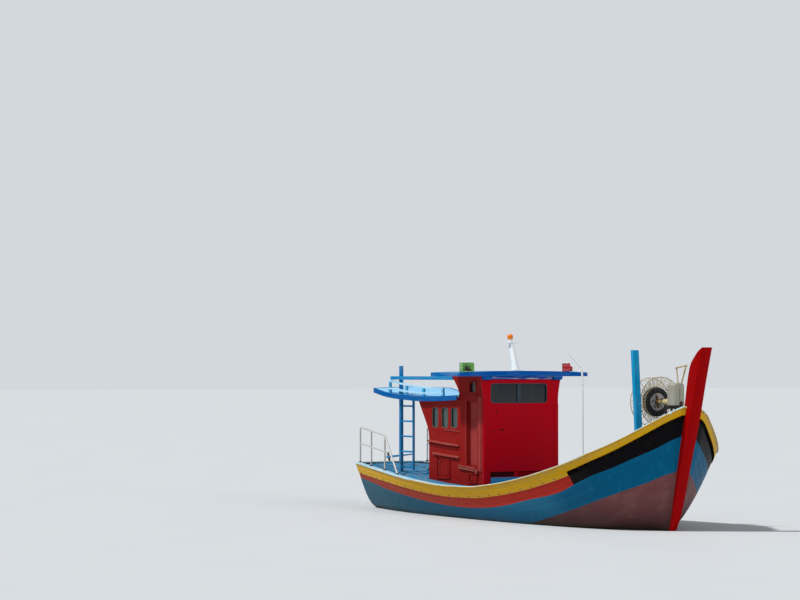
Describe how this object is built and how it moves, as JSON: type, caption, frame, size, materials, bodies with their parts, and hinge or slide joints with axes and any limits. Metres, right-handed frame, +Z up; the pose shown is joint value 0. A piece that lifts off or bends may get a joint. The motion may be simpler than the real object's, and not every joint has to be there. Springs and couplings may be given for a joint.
{
  "type": "wooden inshore fishing boat",
  "caption": "Decked wooden inshore fishing boat with a high raked stem, wheelhouse, canopied aft cabin, net hauler on the bow, fish hatches, rudder and propeller.",
  "frame": {"origin": "on the waterline and the centreline, under the front face of the wheelhouse", "axes": "+X forward, +Y to port, +Z up"},
  "size_m": [12.4354, 3.47, 4.582],
  "materials": {
    "hull_paint": "satin oil paint on planking",
    "engine_iron": "painted casting",
    "bottom_paint": "flat bottom paint",
    "stem_red": "gloss oil paint",
    "strake_yellow": "gloss oil paint, worn",
    "bulwark_blue": "oil paint",
    "cap_blue": "oil paint, worn to white",
    "bronze": "dull bronze",
    "rudder_paint": "bottom paint",
    "iron": "rust-stained iron",
    "front_crimson": "gloss oil paint",
    "window_glass": "dusty dark glass",
    "deck_blue": "deck paint, trodden",
    "side_brick": "oil paint, shaded",
    "roof_blue": "oil paint, peeling edge",
    "beam_blue": "oil paint",
    "canopy_blue": "oil paint, chalky",
    "rail_pipe": "white paint on pipe, worn",
    "lid_blue": "oil paint, chalky",
    "post_blue": "oil paint",
    "hauler_rubber": "old rubber",
    "gearbox_beige": "chalky paint",
    "mast_white": "white paint",
    "beacon_amber": "amber lens",
    "lamp_green": "green paint",
    "lamp_red": "red lens"
  },
  "bodies": {
    "boat": {"hull": "hull_paint", "engine": "engine_iron", "keel": "bottom_paint", "stem_post": "stem_red", "sheer_strake_starboard": "strake_yellow", "sheer_strake_port": "strake_yellow", "bulwark_starboard": "bulwark_blue", "bulwark_port": "bulwark_blue", "cap_rail_starboard": "cap_blue", "cap_rail_port": "cap_blue", "stern_cap": "cap_blue", "rudder_shoe": "iron", "wheelhouse_front": "front_crimson", "wheelhouse_glass_front": "window_glass", "front_sill": "deck_blue", "wheelhouse_side_starboard": "side_brick", "wheelhouse_side_port": "side_brick", "porthole_glass_starboard": "window_glass", "porthole_glass_port": "window_glass", "wheelhouse_back": "side_brick", "wheelhouse_roof": "roof_blue", "roof_beam_starboard": "beam_blue", "roof_beam_port": "beam_blue", "cabin_side_starboard": "side_brick", "cabin_side_port": "side_brick", "cabin_glass_starboard": "window_glass", "cabin_glass_port": "window_glass", "cabin_back": "side_brick", "canopy": "canopy_blue", "canopy_rail_starboard": "canopy_blue", "canopy_rail_port": "canopy_blue", "aft_post_starboard": "beam_blue", "aft_post_port": "beam_blue", "ladder": "beam_blue", "quarter_rail_starboard": "rail_pipe", "quarter_rail_port": "rail_pipe", "hatch_coaming_aft": "deck_blue", "hatch_coaming_fore": "deck_blue", "bow_post": "post_blue", "hauler_gearbox": "gearbox_beige", "hauler_stand": "iron", "mast": "mast_white", "beacon": "beacon_amber", "sidelight_starboard": "lamp_green", "sidelight_port": "lamp_red", "flag_staff": "mast_white"},
    "propeller": {"propeller": "bronze"},
    "rudder": {"rudder": "rudder_paint", "tiller": "rudder_paint"},
    "door_starboard": {"sliding_door_starboard": "side_brick"},
    "door_port": {"sliding_door_port": "side_brick"},
    "cabin_door": {"cabin_door": "side_brick"},
    "side_hatch_starboard": {"side_hatch_starboard": "side_brick"},
    "side_hatch_port": {"side_hatch_port": "side_brick"},
    "hatch_lid_aft": {"hatch_lid_aft": "lid_blue"},
    "hatch_lid_fore": {"hatch_lid_fore": "lid_blue"},
    "hauler_drum": {"hauler_drum": "hauler_rubber"}
  },
  "joints": [
    {"name": "propeller_spin", "type": "hinge", "parent": "boat", "child": "propeller", "pos_m": [-4.82, 0, -0.33], "axis": [1, 0, 0], "continuous": true},
    {"name": "rudder_turn", "type": "hinge", "parent": "boat", "child": "rudder", "pos_m": [-5.32, 0, -0.02], "axis": [-0.3329, 0, 0.943], "range_deg": [-35, 35]},
    {"name": "door_starboard_slide", "type": "slide", "parent": "boat", "child": "door_starboard", "axis": [-1, 0, 0], "range_m": [0, 0.4]},
    {"name": "door_port_slide", "type": "slide", "parent": "boat", "child": "door_port", "axis": [-1, 0, 0], "range_m": [0, 0.4]},
    {"name": "cabin_door_swing", "type": "hinge", "parent": "boat", "child": "cabin_door", "pos_m": [-2.319, 0.327, 1.75], "axis": [0, 0, -1], "range_deg": [0, 110]},
    {"name": "side_hatch_starboard_swing", "type": "hinge", "parent": "boat", "child": "side_hatch_starboard", "pos_m": [-1.897, -0.937, 1.04], "axis": [0, 0, -1], "range_deg": [0, 120]},
    {"name": "side_hatch_port_swing", "type": "hinge", "parent": "boat", "child": "side_hatch_port", "pos_m": [-1.897, 0.937, 1.04], "axis": [0, 0, 1], "range_deg": [0, 120]},
    {"name": "hatch_lid_aft_lift", "type": "hinge", "parent": "boat", "child": "hatch_lid_aft", "pos_m": [-3.168, 0, 0.95], "axis": [0, -1, 0], "range_deg": [0, 105]},
    {"name": "hatch_lid_fore_lift", "type": "hinge", "parent": "boat", "child": "hatch_lid_fore", "pos_m": [2.588, 0, 0.98], "axis": [0, 1, 0], "range_deg": [0, 105]},
    {"name": "hauler_spin", "type": "hinge", "parent": "boat", "child": "hauler_drum", "pos_m": [4.1, 0.606, 2.516], "axis": [1, 0, 0], "continuous": true}
  ]
}
